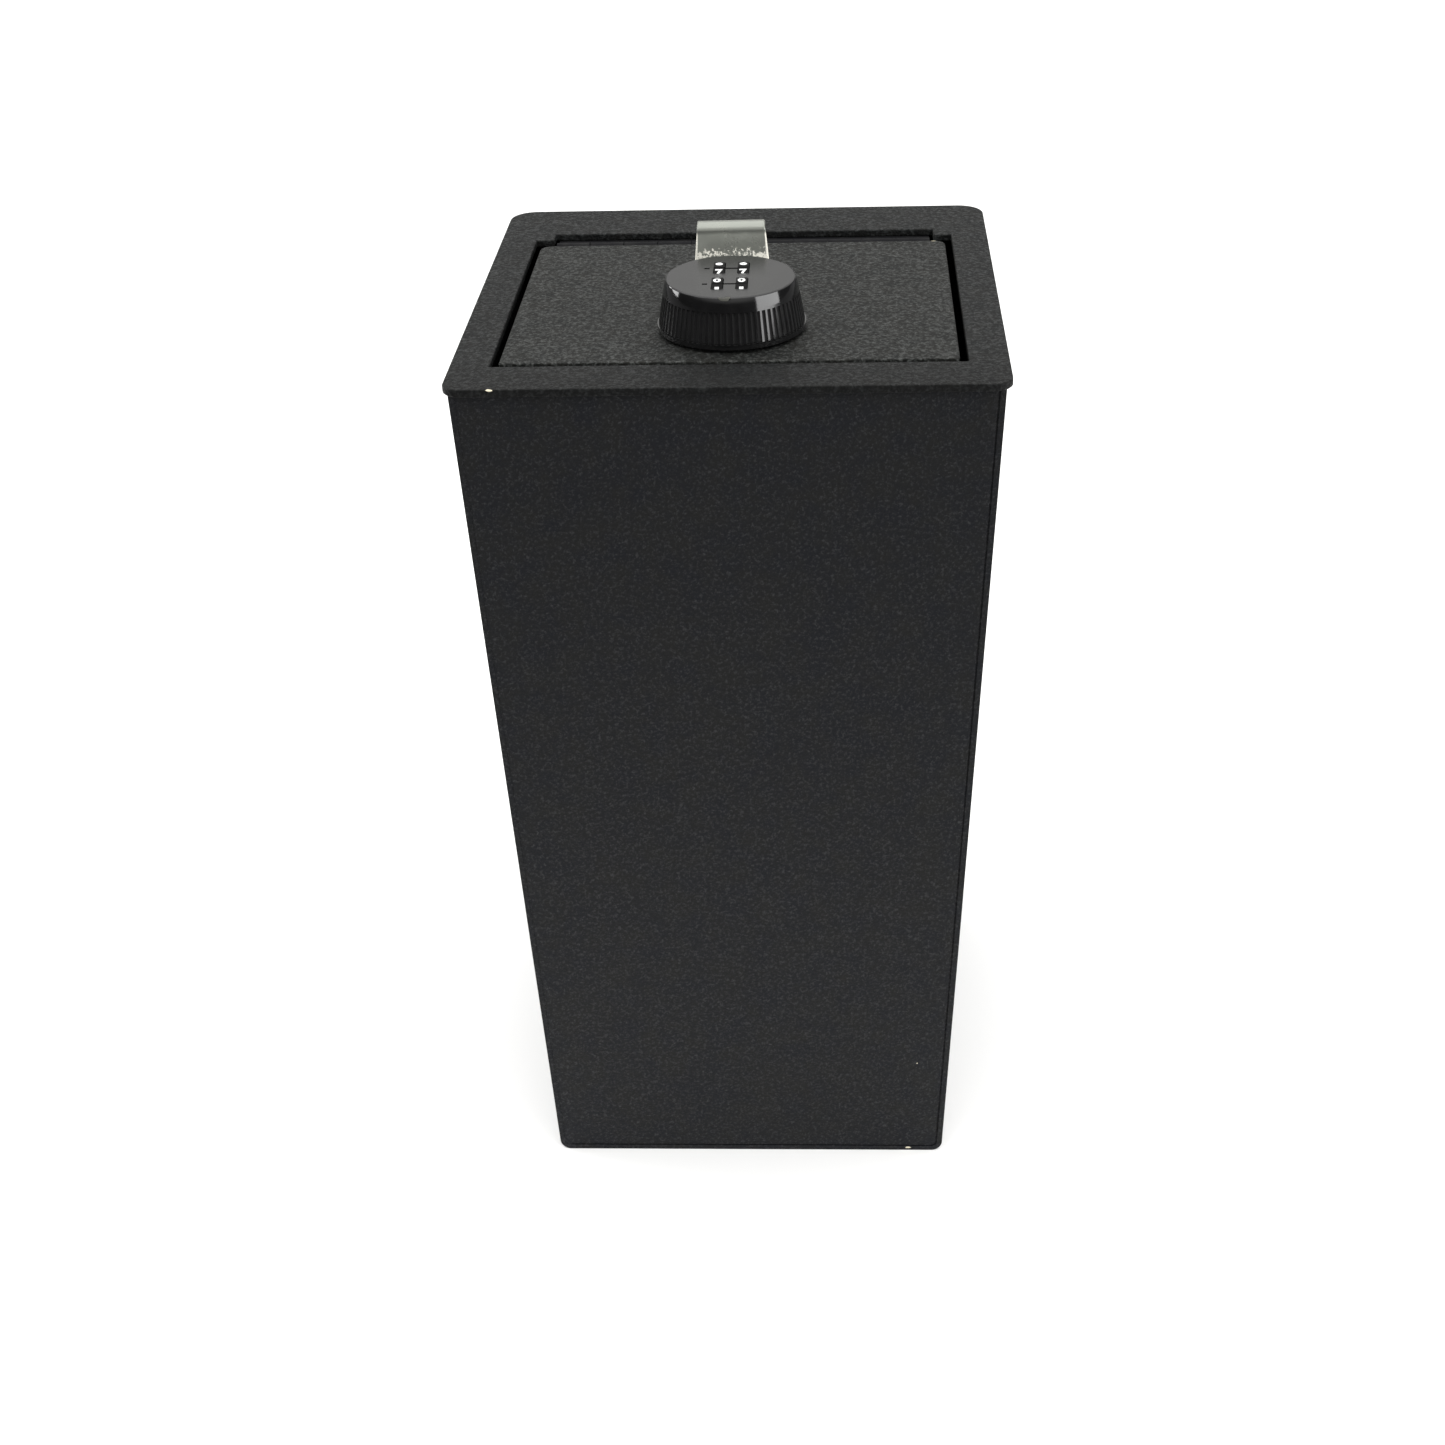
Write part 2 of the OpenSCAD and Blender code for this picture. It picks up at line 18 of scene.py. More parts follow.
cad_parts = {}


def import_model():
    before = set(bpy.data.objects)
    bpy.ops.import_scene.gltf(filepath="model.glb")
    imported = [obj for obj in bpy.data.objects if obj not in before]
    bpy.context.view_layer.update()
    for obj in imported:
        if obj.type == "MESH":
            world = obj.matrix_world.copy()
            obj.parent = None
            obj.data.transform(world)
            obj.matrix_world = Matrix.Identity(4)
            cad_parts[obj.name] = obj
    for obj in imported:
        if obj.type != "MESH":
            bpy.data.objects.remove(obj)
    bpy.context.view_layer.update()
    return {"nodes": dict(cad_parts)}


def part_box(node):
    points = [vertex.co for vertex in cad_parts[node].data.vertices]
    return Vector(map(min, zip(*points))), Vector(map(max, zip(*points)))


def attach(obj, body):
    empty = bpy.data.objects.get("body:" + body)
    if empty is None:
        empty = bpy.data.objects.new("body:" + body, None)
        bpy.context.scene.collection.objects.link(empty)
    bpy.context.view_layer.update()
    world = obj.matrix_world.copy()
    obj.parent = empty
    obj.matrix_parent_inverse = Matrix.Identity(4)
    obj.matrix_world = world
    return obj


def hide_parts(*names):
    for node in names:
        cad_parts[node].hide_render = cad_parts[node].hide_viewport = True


LOG = logging.getLogger("cash_box")

Socket = bpy.types.NodeSocket
Material = bpy.types.Material
BMesh = bmesh.types.BMesh
Colour = tuple[float, float, float]
Triple = tuple[float, float, float]
Pair = tuple[float, float]

MM = 0.001
TINY = 1e-7
BLACK: Colour = (0.0, 0.0, 0.0)
RISE: Pair = (0.0, 1.0)
FALL: Pair = (1.0, 0.0)


class Slot(Enum):
    """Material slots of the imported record."""

    CASE = "case_coat"
    PLATE = "plate_coat"
    HINGE = "hinge_coat"
    BRIGHT = "bright_steel"
    HARDWARE = "hardware"
    KNOB = "knob_gloss"
    WHEEL = "wheel_black"


class Extra(Enum):
    """Finishes that some pieces wear instead of their slot's own."""

    FIGURE = "figure"
    # Painted shade: a darker copy of the plate coat, worn by the flange.
    RIM = "rim"
    LINE = "line"
    POINTER = "pointer"


class Body(Enum):
    """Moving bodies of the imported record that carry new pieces."""

    LID = "lid"
    KNOB = "knob"
    WHEEL_1 = "wheel_1"
    WHEEL_2 = "wheel_2"
    WHEEL_3 = "wheel_3"
    WHEEL_4 = "wheel_4"


# --- node-tree helper ---


@dataclass(frozen=True)
class Noise:
    """A noise pattern.

    Attributes:
        size: Length in metres of one swing of the noise.
        detail: Octaves.
        roughness: How much the finer octaves count.
        distortion: Warp of the pattern.
    """

    size: float
    detail: float
    roughness: float = 0.5
    distortion: float = 0.0


class Graph:
    """Small builder for the shader nodes of a material or a world."""

    # The Mix node repeats its socket names, so its colours go by number.
    MIX_LOW, MIX_HIGH, MIX_RESULT = 6, 7, 2

    def __init__(self, owner: Material | bpy.types.World) -> None:
        """Turn on the owner's nodes.

        Args:
            owner: The material or the world.
        """
        owner.use_nodes = True
        self.tree = owner.node_tree

    def add(self, kind: str, **settings: object) -> bpy.types.Node:
        """Add a node and set its plain properties.

        Args:
            kind: Blender's node type.
            settings: Properties to set on the node.

        Returns:
            The new node.
        """
        node = self.tree.nodes.new(kind)
        for key, value in settings.items():
            setattr(node, key, value)
        return node

    def feed(self, target: Socket, value: Socket | float | Colour) -> None:
        """Join an input to a socket, or set it to a number or a colour.

        Args:
            target: The input.
            value: What it gets.
        """
        if isinstance(value, tuple):
            target.default_value = (*value, 1.0)
        elif isinstance(value, (int, float)):
            target.default_value = value
        else:
            self.tree.links.new(value, target)

    def place(self) -> Socket:
        """Give the object coordinates, which are metres in the model's frame.

        Returns:
            The vector socket.
        """
        return self.add("ShaderNodeTexCoord").outputs["Object"]

    def axes(self, vector: Socket | None = None) -> tuple[Socket, Socket, Socket]:
        """Split a vector.

        Args:
            vector: The vector, or None for object coordinates.

        Returns:
            Its X, Y and Z sockets.
        """
        node = self.add("ShaderNodeSeparateXYZ")
        self.feed(node.inputs["Vector"], vector or self.place())
        return tuple(node.outputs[axis] for axis in "XYZ")

    def noise(self, pattern: Noise) -> Socket:
        """Add a noise texture in object coordinates.

        Args:
            pattern: The pattern.

        Returns:
            The factor socket.
        """
        node = self.add("ShaderNodeTexNoise")
        for name, value in (
            ("Scale", 1.0 / pattern.size),
            ("Detail", pattern.detail),
            ("Roughness", pattern.roughness),
            ("Distortion", pattern.distortion),
            ("Vector", self.place()),
        ):
            self.feed(node.inputs[name], value)
        return node.outputs["Fac"]

    def span(
        self, value: Socket, source: Pair, target: Pair = RISE, curve: str = "LINEAR"
    ) -> Socket:
        """Map a value from one range to another, clamped.

        Args:
            value: The value to map.
            source: Low and high ends of the input.
            target: Results at those two ends.
            curve: Blender's interpolation name.

        Returns:
            The mapped socket.
        """
        node = self.add("ShaderNodeMapRange", interpolation_type=curve)
        names = ("From Min", "From Max", "To Min", "To Max", "Value")
        for name, number in zip(names, (*source, *target, value)):
            self.feed(node.inputs[name], number)
        return node.outputs["Result"]

    def math(
        self, operation: str, first: Socket | float, second: Socket | float = 0.0
    ) -> Socket:
        """Join two values with a maths node.

        Args:
            operation: Blender's operation name.
            first: First operand.
            second: Second operand, left out for an operation that takes one.

        Returns:
            The result socket.
        """
        node = self.add("ShaderNodeMath", operation=operation)
        self.feed(node.inputs[0], first)
        self.feed(node.inputs[1], second)
        return node.outputs["Value"]

    def vector(
        self, operation: str, first: Socket, second: Triple | None = None
    ) -> Socket:
        """Join a vector and a constant one, or measure the vector.

        Args:
            operation: Blender's operation name.
            first: The vector.
            second: The constant one, or None where the result is a number.

        Returns:
            The result socket.
        """
        node = self.add("ShaderNodeVectorMath", operation=operation)
        self.feed(node.inputs[0], first)
        if second is None:
            return node.outputs["Value"]
        node.inputs[1].default_value = second
        return node.outputs["Vector"]

    def mix(
        self, share: Socket, low: Socket | Colour, high: Socket | Colour
    ) -> Socket:
        """Mix two colours.

        Args:
            share: Share of the second colour, which may pass 1.
            low: First colour.
            high: Second colour.

        Returns:
            The colour socket.
        """
        node = self.add("ShaderNodeMix", data_type="RGBA", clamp_factor=False)
        self.feed(node.inputs["Factor"], share)
        self.feed(node.inputs[self.MIX_LOW], low)
        self.feed(node.inputs[self.MIX_HIGH], high)
        return node.outputs[self.MIX_RESULT]

    def bump(
        self, height: Socket, distance: float, below: Socket | None = None
    ) -> Socket:
        """Turn a height into a surface normal.

        Args:
            height: Height from 0 to 1.
            distance: Real height in metres of the full swing.
            below: A coarser normal to build on.

        Returns:
            The normal socket.
        """
        node = self.add("ShaderNodeBump")
        self.feed(node.inputs["Distance"], distance)
        self.feed(node.inputs["Strength"], 1.0)
        self.feed(node.inputs["Height"], height)
        if below is not None:
            self.feed(node.inputs["Normal"], below)
        return node.outputs["Normal"]


class Surface(Graph):
    """Graph of a new material with a Principled surface."""

    def __init__(self, name: str) -> None:
        """Start the material.

        Args:
            name: Its name.
        """
        self.material = bpy.data.materials.new(name)
        super().__init__(self.material)
        self.tree.nodes.clear()
        self.shader = self.add("ShaderNodeBsdfPrincipled")
        output = self.add("ShaderNodeOutputMaterial")
        self.feed(output.inputs["Surface"], self.shader.outputs["BSDF"])

    def finish(self, **values: Socket | float) -> Material:
        """Feed the shader's own inputs.

        Args:
            values: Socket or number of each input, named with underscores.

        Returns:
            The finished material.
        """
        for name, value in values.items():
            title = name.replace("_", " ").title().replace("Ior", "IOR")
            self.feed(self.shader.inputs[title], value)
        return self.material


# --- finishes ---


@dataclass(frozen=True)
class Mottled:
    """Surface of two close tones with a fine relief.

    Attributes:
        name: Material name.
        base: Main colour.
        second: Colour of the patches.
        roughness: Roughness at the two ends of `rough_at`.
        specular: Strength of the shine.
        metallic: 1 for bare metal.
        patches: Noise of the patches.
        shown: Ends of that noise between which the second colour grows.
        relief: Noise of the relief.
        height: Height of the relief in metres.
        rough_at: Ends of the noise that drives the roughness.
        lined: Whether the relief drives the roughness, and not the patches.
    """

    name: str
    base: Colour
    second: Colour
    roughness: Pair = (0.3, 0.5)
    specular: float = 0.5
    metallic: float = 0.0
    patches: Noise = Noise(0.007, 4.0, 0.6)
    shown: Pair = (0.35, 0.7)
    relief: Noise = Noise(0.004, 1.0)
    height: float = 0.000004
    rough_at: Pair = (0.3, 0.7)
    lined: bool = False

    def details(self, g: Graph, tone: Socket, rough: Socket) -> dict[str, Socket]:
        """Add what the plain surface lacks.

        Args:
            g: The material's graph.
            tone: The plain surface's colour.
            rough: Its roughness.

        Returns:
            The shader inputs that change.
        """
        return {}

    def material(self) -> Material:
        """Build the surface's material.

        Returns:
            The material.
        """
        g = Surface(self.name)
        patches, relief = g.noise(self.patches), g.noise(self.relief)
        driver = relief if self.lined else patches
        tone = g.mix(g.span(patches, self.shown), self.base, self.second)
        rough = g.span(driver, self.rough_at, self.roughness)
        values = {"base_color": tone, "roughness": rough, "metallic": self.metallic}
        values.update(self.details(g, tone, rough))
        normal = g.bump(relief, self.height)
        return g.finish(normal=normal, specular_ior_level=self.specular, **values)


@dataclass(frozen=True)
class SmoothPaint(Mottled):
    """Thin, slightly uneven paint on the hinge and in the marks of the dial."""

    roughness: Pair = (0.75, 0.6)
    specular: float = 0.12
    patches: Noise = Noise(0.006, 4.0, 0.65)
    shown: Pair = (0.5, 0.75)
    relief: Noise = Noise(0.0009, 1.0)
    height: float = 0.00012
    rough_at: Pair = (0.3, 0.8)


@dataclass(frozen=True)
class Metal(Mottled):
    """Bare metal with stains, and fine lines from polishing or rolling."""

    roughness: Pair = (0.25, 0.42)
    metallic: float = 1.0
    relief: Noise = Noise(1 / 900, 3.0)
    height: float = 0.000006
    lined: bool = True


@dataclass(frozen=True)
class WhitePrint(Mottled):
    """White printing ink with slightly uneven cover."""

    roughness: Pair = (0.35, 0.5)
    patches: Noise = Noise(0.0007, 3.0)
    shown: Pair = (0.55, 0.75)
    relief: Noise = Noise(0.0007, 3.0)
    height: float = 0.00002


@dataclass(frozen=True)
class Plastic(Mottled):
    """Moulded plastic with a faint haze of handling."""

    patches: Noise = Noise(0.009, 4.0, 0.6)
    shown: Pair = (0.4, 0.75)


@dataclass(frozen=True)
class KnobPlastic(Plastic):
    """Black plastic with a satin flat face above a glossy fluted skirt.

    Attributes:
        shade: Painted shade: darker colour inside the flutes.
        face: Roughness of the flat face.
        face_z: Heights between which the skirt's roughness turns to the face's.
        axis_y: Where the knob's axis stands.
        foot: Radius of the skirt at its foot and the foot's height.
        lean: Tangent of the skirt's lean.
        flutes_top: Heights above the foot between which the flutes end.
        flute_depth: Depths below the skirt between which a flute begins.
        groove: Roughness that is added inside the flutes.
    """

    roughness: Pair = (0.07, 0.13)
    shade: Colour = (0.0015, 0.0015, 0.0018)
    face: float = 0.27
    face_z: Pair = (0.31265, 0.31288)
    axis_y: float = -0.0373
    foot: Pair = (0.0231, 0.2988)
    lean: float = 0.1774
    flutes_top: Pair = (0.0093, 0.0097)
    flute_depth: Pair = (0.00006, 0.00020)
    groove: float = 0.7

    def in_flutes(self, g: Graph) -> Socket:
        """Mask the flutes, found from the depth below the skirt's cone.

        Args:
            g: The material's graph.

        Returns:
            The mask.
        """
        radius, foot_z = self.foot
        x, y, z = g.axes(g.vector("SUBTRACT", g.place(), (0.0, self.axis_y, foot_z)))
        squares = g.math("ADD", g.math("MULTIPLY", x, x), g.math("MULTIPLY", y, y))
        cone = g.math("ADD", g.math("MULTIPLY", z, -self.lean), radius)
        depth = g.math("SUBTRACT", cone, g.math("SQRT", squares))
        deep = g.span(depth, self.flute_depth)
        return g.math("MULTIPLY", deep, g.span(z, self.flutes_top, FALL))

    def details(self, g: Graph, tone: Socket, rough: Socket) -> dict[str, Socket]:
        """Add the flat face and the flutes, with painted shade in the flutes, as
        `Mottled.details` describes.
        """
        flutes = self.in_flutes(g)
        on_face = g.span(g.axes()[2], self.face_z)
        skirt = g.math("MULTIPLY", g.math("SUBTRACT", 1.0, on_face), rough)
        rough = g.math("ADD", skirt, g.math("MULTIPLY", on_face, self.face))
        return {
            # Painted shade: the flutes are darkened towards the shade colour.
            "base_color": g.mix(flutes, tone, self.shade),
            "roughness": g.math("ADD", rough, g.math("MULTIPLY", flutes, self.groove)),
        }


@dataclass(frozen=True)
class TabSteel(Mottled):
    """Satin plated steel with painted highlights on the upright and painted shade on
    the curl.

    Attributes:
        scuff: Colour of the painted highlights, which stand in for reflections.
        band: Heights between which the painted highlight specks thin out, in metres.
        needed: Relief that makes a highlight speck at those two heights.
        scuff_edge: Softness of a speck's edge.
        band_end: Heights between which the specks stop.
        start: Heights between which the specks and the painted edge highlights begin.
        middle: Where the upright's middle line stands along X.
        upright: Low and high ends of the visible upright.
        half: Half the upright's width at those two heights.
        edge: Width of the painted highlight along each side at the same heights.
        edge_fade: Shares of that width between which its brightness ends.
        curl: Heights between which the colour falls and the painted edge highlight
            ends.
        curl_share: Share of the colour left above them, painted shade on the curl.
    """

    roughness: Pair = (0.26, 0.32)
    metallic: float = 0.7
    patches: Noise = Noise(0.007, 3.0, 0.6)
    relief: Noise = Noise(0.0009, 4.0, 0.7)
    height: float = 0.000002
    scuff: Colour = (0.98, 0.96, 0.86)
    band: Pair = (0.3096, 0.3132)
    needed: Pair = (0.43, 0.61)
    scuff_edge: float = 0.03
    band_end: Pair = (0.3132, 0.3136)
    start: Pair = (0.3056, 0.3086)
    middle: float = -0.00083
    upright: Pair = (0.3105, 0.3210)
    half: Pair = (0.01175, 0.01085)
    edge: Pair = (0.00075, 0.00030)
    edge_fade: Pair = (0.7, 1.0)
    curl: Pair = (0.3172, 0.3182)
    curl_share: float = 0.48

    def details(self, g: Graph, tone: Socket, rough: Socket) -> dict[str, Socket]:
        """Add the painted highlight specks, the painted edge highlights and the painted
        shade on the curl, as in `Mottled`.
        """
        x, _, z = g.axes()
        # Painted highlight: jagged bright specks low on the upright, in place of the
        # knob's rim reflected in the steel.
        needed = g.span(z, self.band, self.needed)
        extra = g.math("SUBTRACT", g.noise(self.relief), needed)
        above = g.span(extra, (0.0, self.scuff_edge))
        glint_specks = g.math("MULTIPLY", above, g.span(z, self.band_end, FALL))
        # Painted highlight: bright bands along both sides, in place of the windows
        # reflected in the rounded edges.
        across = g.math("ABSOLUTE", g.math("SUBTRACT", x, self.middle))
        inside = g.math("SUBTRACT", g.span(z, self.upright, self.half), across)
        share = g.math("DIVIDE", inside, g.span(z, self.upright, self.edge))
        edge_shine = g.span(share, self.edge_fade, FALL)
        edges = g.math("MULTIPLY", edge_shine, g.span(z, self.curl, FALL))
        bright = g.math("MAXIMUM", glint_specks, edges)
        painted_highlights = g.math("MULTIPLY", bright, g.span(z, self.start))
        # Painted shade: the curl's colour is darkened towards the top.
        toned = g.mix(g.span(z, self.curl, (1.0, self.curl_share)), BLACK, tone)
        return {
            "base_color": g.mix(painted_highlights, toned, self.scuff),
            "metallic": g.span(painted_highlights, RISE, (self.metallic, 0.0)),
        }


@dataclass(frozen=True)
class Chip:
    """A small knock that has gone through the coating to bare metal.

    Attributes:
        place: Centre in metres.
        reach: Half its size along X, Y and Z in metres.
    """

    place: Triple
    reach: Triple


@dataclass(frozen=True)
class TexturedCoat(Mottled):
    """Granular wrinkled powder coat on sheet steel.

    Attributes:
        grain: Colour of the grains.
        cover: Ends of the noise between which the grains show.
        finer: Size of the fine grains, as a share of the coarse ones.
        weights: Shares of the coarse and the fine grains in the relief.
        fine_height: Height of the fine grains, as a share of the coarse ones.
        fade: Painted light and shade near the front edge: share of the colour
        at the front, and the two places along Y between which it changes to the full
        colour.
        chips: The knocks.
        bare: Colour of bare metal in a chip.
        frayed: Noise that frays the edge of a chip.
        chip_edge: Distances from its centre, in reaches, between which a chip ends.
    """

    roughness: Pair = (0.65, 0.40)
    specular: float = 0.16
    patches: Noise = Noise(0.009, 3.0, 0.6)
    shown: Pair = (0.35, 0.65)
    relief: Noise = Noise(0.0011, 1.0, distortion=0.4)
    height: float = 0.00025
    rough_at: Pair = (0.4, 0.65)
    grain: Colour = (0.0280, 0.0285, 0.0305)
    cover: Pair = (0.52, 0.72)
    finer: float = 0.45
    weights: Pair = (0.6, 0.4)
    fine_height: float = 0.5
    fade: Triple = (1.0, -0.088, -0.060)
    chips: tuple[Chip, ...] = ()
    bare: Colour = (0.80, 0.74, 0.58)
    frayed: Noise = Noise(0.0008, 2.0)
    chip_edge: Pair = (1.35, 1.50)

    def chipped(self, g: Graph) -> Socket:
        """Mask the chips.

        Args:
            g: The material's graph.

        Returns:
            1 inside a chip and 0 outside.
        """
        frayed = g.noise(self.frayed)
        mask: Socket | float = 0.0
        for chip in self.chips:
            offset = g.vector("SUBTRACT", g.place(), chip.place)
            length = g.vector("LENGTH", g.vector("DIVIDE", offset, chip.reach))
            inside = g.span(g.math("ADD", length, frayed), self.chip_edge, FALL)
            mask = g.math("MAXIMUM", mask, inside)
        return mask

    def material(self) -> Material:
        """Build the coating's material.

        Returns:
            The material.
        """
        g = Surface(self.name)
        coarse = g.noise(self.relief)
        fine = g.noise(Noise(self.relief.size * self.finer, self.relief.detail))
        relief = g.math("ADD", *(
            g.math("MULTIPLY", grains, weight)
            for grains, weight in zip((coarse, fine), self.weights)
        ))
        tone = g.mix(g.span(g.noise(self.patches), self.shown), self.base, self.second)
        grained = g.mix(g.span(relief, self.cover), tone, self.grain)
        # Painted light and shade: the colour is scaled near the front edge, above 1 to
        # lighten it and below 1 to darken it.
        share = g.span(g.axes()[1], self.fade[1:], (self.fade[0], 1.0))
        chipped = self.chipped(g)
        lumps = g.bump(coarse, self.height)
        return g.finish(
            base_color=g.mix(chipped, g.mix(share, BLACK, grained), self.bare),
            metallic=chipped,
            roughness=g.span(relief, self.rough_at, self.roughness),
            normal=g.bump(fine, self.height * self.fine_height, lumps),
            specular_ior_level=self.specular,
        )


@dataclass(frozen=True)
class PlateCoat(TexturedCoat):
    """The coarser coat of the two flat plates."""

    relief: Noise = Noise(0.0013, 1.0, distortion=0.4)
    height: float = 0.00035


@dataclass(frozen=True)
class FloorPaint:
    """Matt floor with a painted pool of light: pale round the box, painted dark away
    from it.

    Attributes:
        base: Colour round and behind the box.
        far: Colour well away from it, painted shade in place of light that falls off.
        near_y: Where the pale part ends in front, in metres.
        half_x: Half the width of the pale part beside the box.
        widen: Growth of that half width for each metre further back.
        fade: Length of the painted change to the far colour.
        roughness: Roughness of the paint.
    """

    base: Colour = (0.93, 0.93, 0.93)
    far: Colour = (0.16, 0.16, 0.165)
    near_y: float = -0.27
    half_x: float = 0.37
    widen: float = 0.34
    fade: float = 0.30
    roughness: float = 0.8

    def material(self) -> Material:
        """Build the floor's material.

        Returns:
            The material.
        """
        g = Surface("pale_floor")
        x, y, _ = g.axes()
        limit = g.math("ADD", g.math("MULTIPLY", y, self.widen), self.half_x)
        beside = g.math("SUBTRACT", g.math("ABSOLUTE", x), limit)
        before = g.math("SUBTRACT", self.near_y, y)
        # Painted pool of light: the floor is pale round and behind the box and painted
        # dark further away.
        away = g.span(g.math("MAXIMUM", beside, before), (0.0, self.fade))
        colour = g.mix(away, self.base, self.far)
        return g.finish(base_color=colour, roughness=self.roughness)


FINISHES: dict[Slot | Extra, Mottled] = {
    Slot.CASE: TexturedCoat(
        "case_coat_finish", (0.0066, 0.0074, 0.0096), (0.0088, 0.0090, 0.0090),
        chips=(
            Chip((0.0600, -0.0862, 0.0400), (0.0003, 0.0003, 0.0003)),
            Chip((0.0570, -0.0862, 0.0012), (0.0014, 0.0004, 0.0005)),
        ),
    ),
    Slot.PLATE: PlateCoat(
        "plate_coat_finish", (0.0045, 0.0052, 0.0048), (0.0080, 0.0080, 0.0068),
        grain=(0.0475, 0.0500, 0.0480), cover=(0.47, 0.68),
        # Painted light: the lid's front edge, in shade in the gap, is painted half as
        # bright again.
        fade=(1.5, -0.0664, -0.0658),
        chips=(Chip((0.0668, 0.0473, 0.2959), (0.0011, 0.0007, 0.0006)),),
    ),
    Slot.HINGE: SmoothPaint(
        "hinge_coat_finish", (0.004, 0.004, 0.005), (0.012, 0.012, 0.012)
    ),
    Slot.BRIGHT: TabSteel(
        "bright_steel_finish", (0.54, 0.56, 0.505), (0.51, 0.53, 0.48)
    ),
    Slot.HARDWARE: Metal("hardware_finish", (0.46, 0.46, 0.45), (0.34, 0.34, 0.33)),
    Slot.KNOB: KnobPlastic(
        "knob_gloss_finish", (0.0045, 0.0045, 0.0048), (0.0080, 0.0080, 0.0084)
    ),
    Slot.WHEEL: Plastic(
        "wheel_finish", (0.003, 0.003, 0.003), (0.005, 0.005, 0.005),
        roughness=(0.5, 0.6), specular=0.12,
    ),
    Extra.FIGURE: WhitePrint("white_figures", (0.86, 0.87, 0.86), (0.62, 0.63, 0.63)),
    # Painted shade: the flange wears a darker copy of the lid's plate coat, darker
    # again towards its front edge.
    Extra.RIM: PlateCoat(
        "rim_coat_shaded_finish", (0.0026, 0.0032, 0.0034), (0.0048, 0.0048, 0.0044),
        grain=(0.0270, 0.0290, 0.0290), cover=(0.48, 0.69),
        fade=(0.55, -0.088, -0.060),
        chips=(Chip((-0.0706, -0.0880, 0.2958), (0.0012, 0.0005, 0.0004)),),
    ),
    Extra.LINE: SmoothPaint(
        "dial_lines", (0.003, 0.003, 0.003), (0.006, 0.006, 0.006), specular=0.0
    ),
    Extra.POINTER: SmoothPaint(
        "pointer_paint", (0.085, 0.085, 0.075), (0.125, 0.125, 0.11)
    ),
}


@dataclass
class Finishes:
    """All materials of the box.

    Attributes:
        made: The materials by slot or extra, once built.
    """

    made: dict[Slot | Extra, Material] = field(default_factory=dict)

    def build(self) -> None:
        """Make each material once."""
        for key, finish in FINISHES.items():
            self.made[key] = finish.material()

    def dress(
        self, piece: bpy.types.Object, slot: Slot, extra: Extra | None = None
    ) -> None:
        """Give a piece one finish.

        Args:
            piece: The piece.
            slot: Its slot of the record.
            extra: The finish it wears instead of the slot's own.
        """
        piece.data.materials.clear()
        piece.data.materials.append(self.made[extra or slot])


# --- stage ---


@dataclass(frozen=True)
class Panel:
    """One soft rectangular light.

    Attributes:
        name: Light name.
        place: Where it hangs.
        aim: Point it faces.
        size: Width and height in metres.
        power: Watts.
    """

    name: str
    place: Triple
    aim: Triple
    size: Pair
    power: float

    def build(self) -> None:
        """Hang the light."""
        data = bpy.data.lights.new(self.name, "AREA")
        data.shape = "RECTANGLE"
        data.size, data.size_y = self.size
        data.energy = self.power
        lamp = bpy.data.objects.new(self.name, data)
        lamp.location = self.place
        lamp.rotation_mode = "QUATERNION"
        towards = Vector(self.aim) - Vector(self.place)
        lamp.rotation_quaternion = towards.to_track_quat("-Z", "Y")
        lamp.visible_camera = False
        bpy.context.scene.collection.objects.link(lamp)


